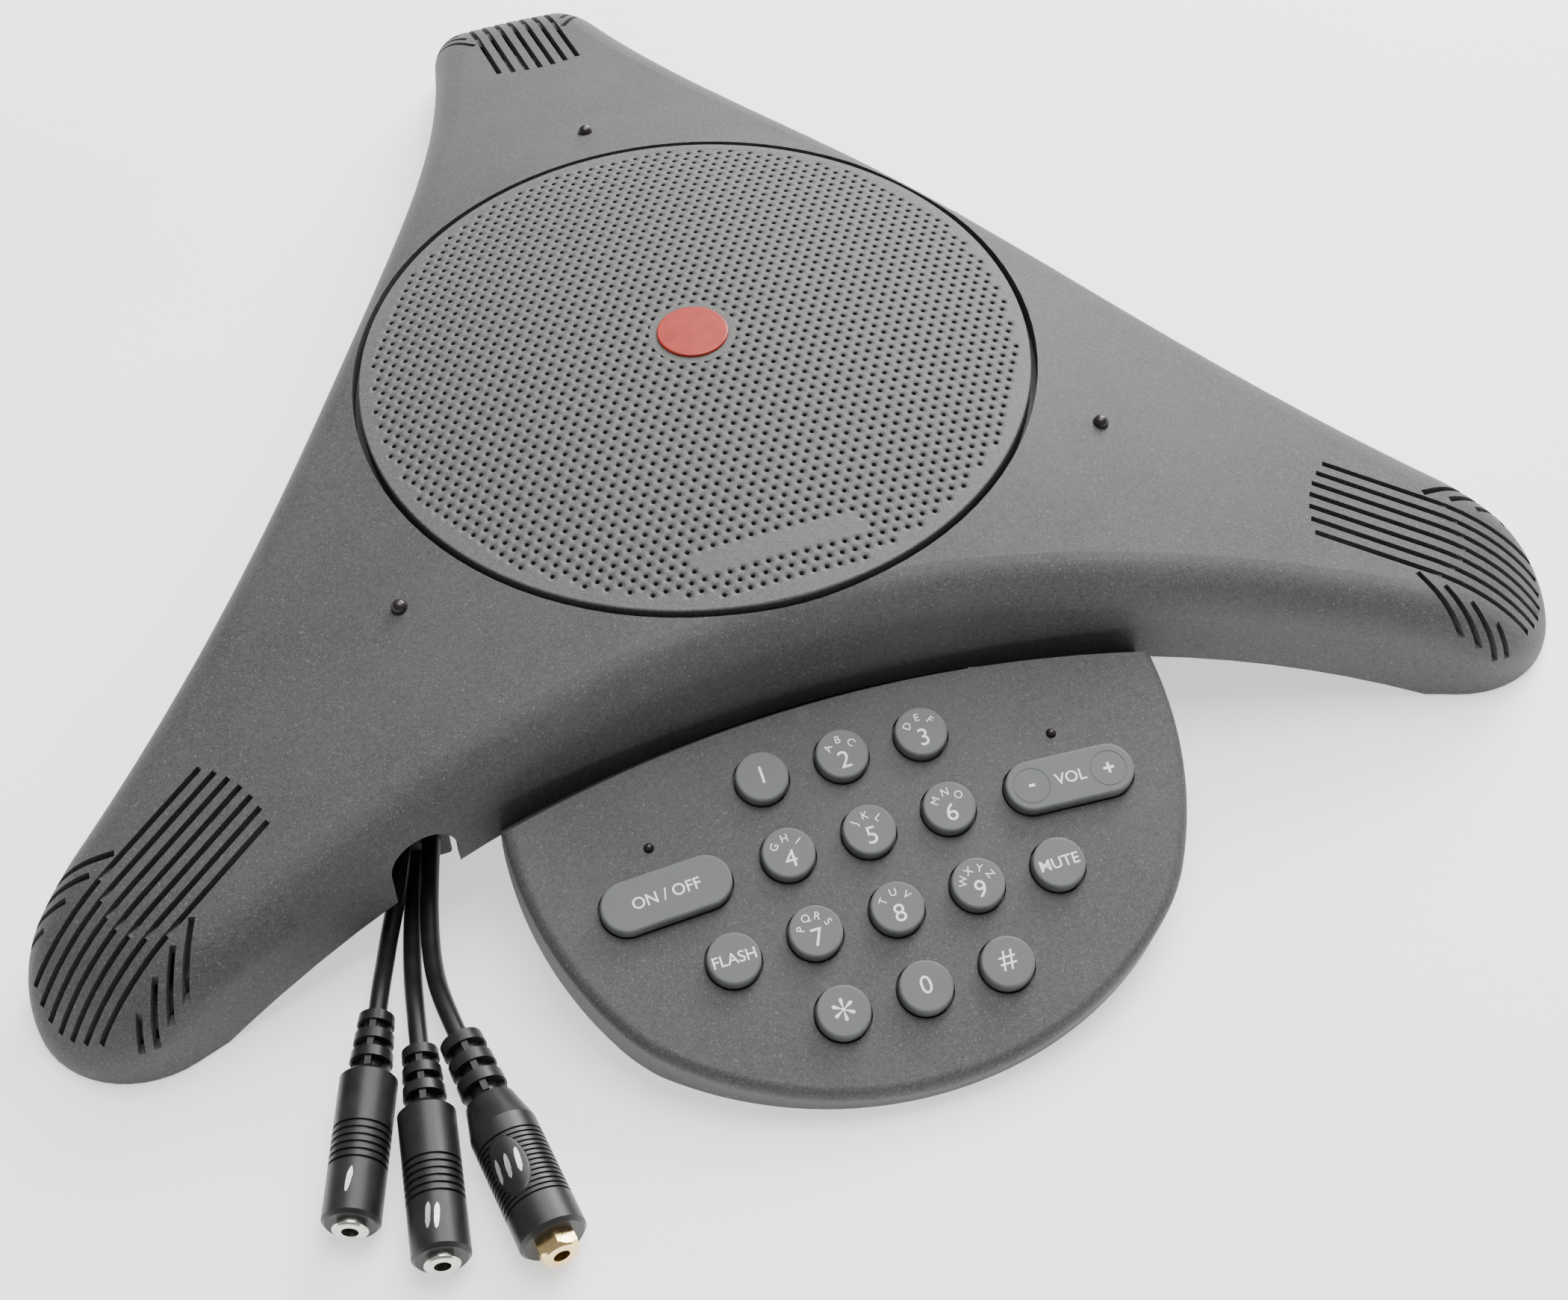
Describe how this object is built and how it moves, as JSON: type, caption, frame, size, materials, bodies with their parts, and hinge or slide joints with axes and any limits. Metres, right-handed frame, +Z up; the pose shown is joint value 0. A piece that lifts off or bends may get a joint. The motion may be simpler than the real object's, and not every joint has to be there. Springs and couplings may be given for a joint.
{
  "type": "conference speakerphone",
  "caption": "Three-armed table speakerphone: round perforated speaker grille in a star-shaped shell, slotted arm tips, sloping keypad with press keys and short leads with in-line sockets.",
  "frame": {"origin": "on the table under the middle of the object's bounding box, leads and sockets left out", "axes": "+Z up, -Y towards the keypad's front edge, +Y towards the single rear arm, +X to the right of someone at the keypad"},
  "size_m": [0.3646, 0.3949, 0.0669],
  "materials": {
    "housing_plastic": "fine spark-eroded texture, dark warm grey",
    "base_plastic": "plain moulded black",
    "screw_steel": "zinc plated",
    "foot_rubber": "soft matt",
    "grille_metal": "perforated sheet, matt dark grey paint",
    "badge_enamel": "plain glossy red",
    "gasket_foam": "closed-cell foam",
    "basket_steel": "satin",
    "cone_paper": "treated paper",
    "magnet_ferrite": "ferrite",
    "board_green": "solder mask",
    "membrane_silicone": "translucent grey silicone",
    "light_smoke": "smoked lens",
    "microphone_metal": "plain",
    "microphone_rubber": "soft",
    "key_silicone": "matt blue-grey with pale printed legends",
    "lead_pvc": "semi-matt flexible vinyl",
    "sleeve_nickel": "nickel plated",
    "sleeve_gold": "gold plated"
  },
  "bodies": {
    "base": {"top_housing": "housing_plastic", "base_plate": "base_plastic", "housing_screws": "screw_steel", "rubber_feet": "foot_rubber", "speaker_grille": "grille_metal", "grille_badge": "badge_enamel", "speaker_gasket": "gasket_foam", "speaker_basket": "basket_steel", "speaker_cone": "cone_paper", "speaker_magnet": "magnet_ferrite", "speaker_screws": "screw_steel", "main_board": "board_green", "keypad_panel": "housing_plastic", "keypad_base": "base_plastic", "keypad_membrane": "membrane_silicone", "keypad_board": "board_green", "keypad_screws": "screw_steel", "keypad_light_left": "light_smoke", "keypad_light_right": "light_smoke", "lead_clamp": "base_plastic", "microphone_rear": "microphone_metal", "microphone_boot_rear": "microphone_rubber", "status_light_rear": "light_smoke", "microphone_left": "microphone_metal", "microphone_boot_left": "microphone_rubber", "status_light_left": "light_smoke", "microphone_right": "microphone_metal", "microphone_boot_right": "microphone_rubber", "status_light_right": "light_smoke", "lead_a": "lead_pvc", "lead_a_boot": "lead_pvc", "lead_a_socket_body": "lead_pvc", "lead_a_socket_sleeve": "sleeve_nickel", "lead_b": "lead_pvc", "lead_b_boot": "lead_pvc", "lead_b_socket_body": "lead_pvc", "lead_b_socket_sleeve": "sleeve_nickel", "lead_c": "lead_pvc", "lead_c_boot": "lead_pvc", "lead_c_socket_body": "lead_pvc", "lead_c_socket_sleeve": "sleeve_gold"},
    "key_star": {"key_star": "key_silicone"},
    "key_0": {"key_0": "key_silicone"},
    "key_hash": {"key_hash": "key_silicone"},
    "key_7": {"key_7": "key_silicone"},
    "key_8": {"key_8": "key_silicone"},
    "key_9": {"key_9": "key_silicone"},
    "key_4": {"key_4": "key_silicone"},
    "key_5": {"key_5": "key_silicone"},
    "key_6": {"key_6": "key_silicone"},
    "key_1": {"key_1": "key_silicone"},
    "key_2": {"key_2": "key_silicone"},
    "key_3": {"key_3": "key_silicone"},
    "key_flash": {"key_flash": "key_silicone"},
    "key_mute": {"key_mute": "key_silicone"},
    "key_on_off": {"key_on_off": "key_silicone"},
    "volume_rocker": {"volume_rocker": "key_silicone"}
  },
  "joints": [
    {"name": "key_star_press", "type": "slide", "parent": "base", "child": "key_star", "axis": [0, 0.284, -0.9588], "range_m": [0, 0.0015], "stiffness_N_per_m": 260, "springref_m": -0.0006},
    {"name": "key_0_press", "type": "slide", "parent": "base", "child": "key_0", "axis": [0, 0.284, -0.9588], "range_m": [0, 0.0015], "stiffness_N_per_m": 260, "springref_m": -0.0006},
    {"name": "key_hash_press", "type": "slide", "parent": "base", "child": "key_hash", "axis": [0, 0.284, -0.9588], "range_m": [0, 0.0015], "stiffness_N_per_m": 260, "springref_m": -0.0006},
    {"name": "key_7_press", "type": "slide", "parent": "base", "child": "key_7", "axis": [0, 0.284, -0.9588], "range_m": [0, 0.0015], "stiffness_N_per_m": 260, "springref_m": -0.0006},
    {"name": "key_8_press", "type": "slide", "parent": "base", "child": "key_8", "axis": [0, 0.284, -0.9588], "range_m": [0, 0.0015], "stiffness_N_per_m": 260, "springref_m": -0.0006},
    {"name": "key_9_press", "type": "slide", "parent": "base", "child": "key_9", "axis": [0, 0.284, -0.9588], "range_m": [0, 0.0015], "stiffness_N_per_m": 260, "springref_m": -0.0006},
    {"name": "key_4_press", "type": "slide", "parent": "base", "child": "key_4", "axis": [0, 0.284, -0.9588], "range_m": [0, 0.0015], "stiffness_N_per_m": 260, "springref_m": -0.0006},
    {"name": "key_5_press", "type": "slide", "parent": "base", "child": "key_5", "axis": [0, 0.284, -0.9588], "range_m": [0, 0.0015], "stiffness_N_per_m": 260, "springref_m": -0.0006},
    {"name": "key_6_press", "type": "slide", "parent": "base", "child": "key_6", "axis": [0, 0.284, -0.9588], "range_m": [0, 0.0015], "stiffness_N_per_m": 260, "springref_m": -0.0006},
    {"name": "key_1_press", "type": "slide", "parent": "base", "child": "key_1", "axis": [0, 0.284, -0.9588], "range_m": [0, 0.0015], "stiffness_N_per_m": 260, "springref_m": -0.0006},
    {"name": "key_2_press", "type": "slide", "parent": "base", "child": "key_2", "axis": [0, 0.284, -0.9588], "range_m": [0, 0.0015], "stiffness_N_per_m": 260, "springref_m": -0.0006},
    {"name": "key_3_press", "type": "slide", "parent": "base", "child": "key_3", "axis": [0, 0.284, -0.9588], "range_m": [0, 0.0015], "stiffness_N_per_m": 260, "springref_m": -0.0006},
    {"name": "key_flash_press", "type": "slide", "parent": "base", "child": "key_flash", "axis": [0, 0.284, -0.9588], "range_m": [0, 0.0015], "stiffness_N_per_m": 260, "springref_m": -0.0006},
    {"name": "key_mute_press", "type": "slide", "parent": "base", "child": "key_mute", "axis": [0, 0.284, -0.9588], "range_m": [0, 0.0015], "stiffness_N_per_m": 260, "springref_m": -0.0006},
    {"name": "key_on_off_press", "type": "slide", "parent": "base", "child": "key_on_off", "axis": [0, 0.284, -0.9588], "range_m": [0, 0.0015], "stiffness_N_per_m": 420, "springref_m": -0.0006},
    {"name": "volume_rock", "type": "hinge", "parent": "base", "child": "volume_rocker", "pos_m": [0.0464, -0.13666, 0.02003], "axis": [0.0523, 0.9575, 0.2836], "range_deg": [-2.5, 2.5], "stiffness_Nm_per_rad": 0.35}
  ]
}
